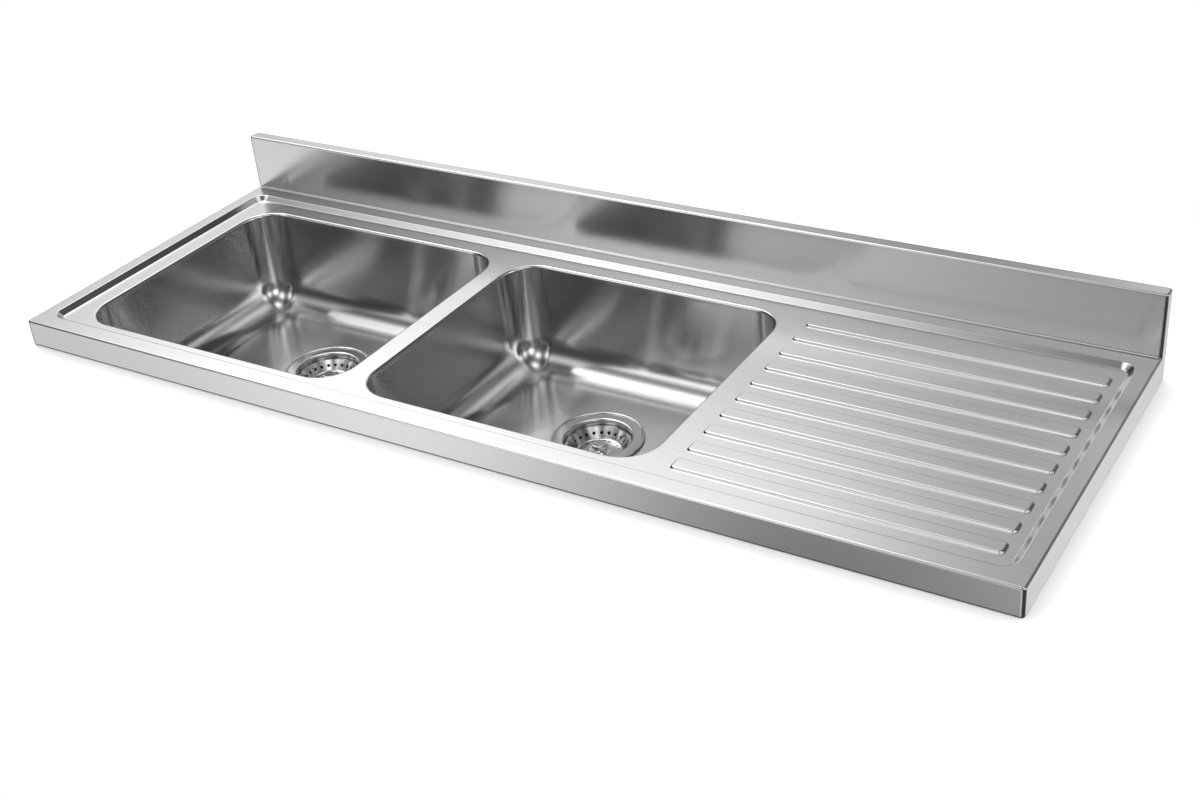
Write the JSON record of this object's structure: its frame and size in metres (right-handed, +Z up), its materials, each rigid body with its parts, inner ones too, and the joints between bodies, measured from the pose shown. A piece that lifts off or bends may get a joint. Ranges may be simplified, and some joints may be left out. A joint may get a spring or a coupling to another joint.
{
  "type": "kitchen sink with drainboard",
  "caption": "Stainless kitchen sink top with drawn bowls, basket strainer wastes, a ribbed drainboard, folded edges and a rear upstand.",
  "frame": {"origin": "middle of the front return lip, on the plane that the folded edges rest on", "axes": "+Z up, +X along the length from the bowls to the drainboard, +Y from the front to the wall"},
  "size_m": [1.5, 0.535, 0.319],
  "materials": {
    "satin_steel": "satin stainless, fine grain along the length",
    "polished_steel": "polished stainless",
    "zinc_steel": "zinc-coated sheet",
    "damping_pad": "matt bitumen",
    "rubber": "moulded, matt",
    "fibre": "pressed fibre",
    "nut_plastic": "moulded"
  },
  "bodies": {
    "root": {"sink_top": "satin_steel", "upstand_cap_left": "satin_steel", "upstand_cap_right": "satin_steel", "bowl_left": "satin_steel", "bowl_right": "satin_steel", "channel_left": "zinc_steel", "channel_right": "zinc_steel", "drainer_pad": "damping_pad", "gusset_front_left": "zinc_steel", "gusset_front_right": "zinc_steel", "gusset_back_left": "zinc_steel", "gusset_back_right": "zinc_steel", "bowl_pad_left": "damping_pad", "bowl_pad_right": "damping_pad", "strainer_body_left": "polished_steel", "top_seal_left": "rubber", "low_seal_left": "rubber", "friction_ring_left": "fibre", "ring_nut_left": "nut_plastic", "strainer_body_right": "polished_steel", "top_seal_right": "rubber", "low_seal_right": "rubber", "friction_ring_right": "fibre", "ring_nut_right": "nut_plastic"},
    "basket_left": {"basket_left": "polished_steel", "knob_left": "polished_steel", "stem_left": "polished_steel", "plug_left": "rubber", "plug_disc_left": "polished_steel", "stem_nut_left": "polished_steel"},
    "basket_right": {"basket_right": "polished_steel", "knob_right": "polished_steel", "stem_right": "polished_steel", "plug_right": "rubber", "plug_disc_right": "polished_steel", "stem_nut_right": "polished_steel"}
  },
  "joints": [
    {"name": "basket_left_lift", "type": "slide", "parent": "root", "child": "basket_left", "axis": [0, 0, 1], "range_m": [0, 0.25]},
    {"name": "basket_right_lift", "type": "slide", "parent": "root", "child": "basket_right", "axis": [0, 0, 1], "range_m": [0, 0.25]}
  ]
}
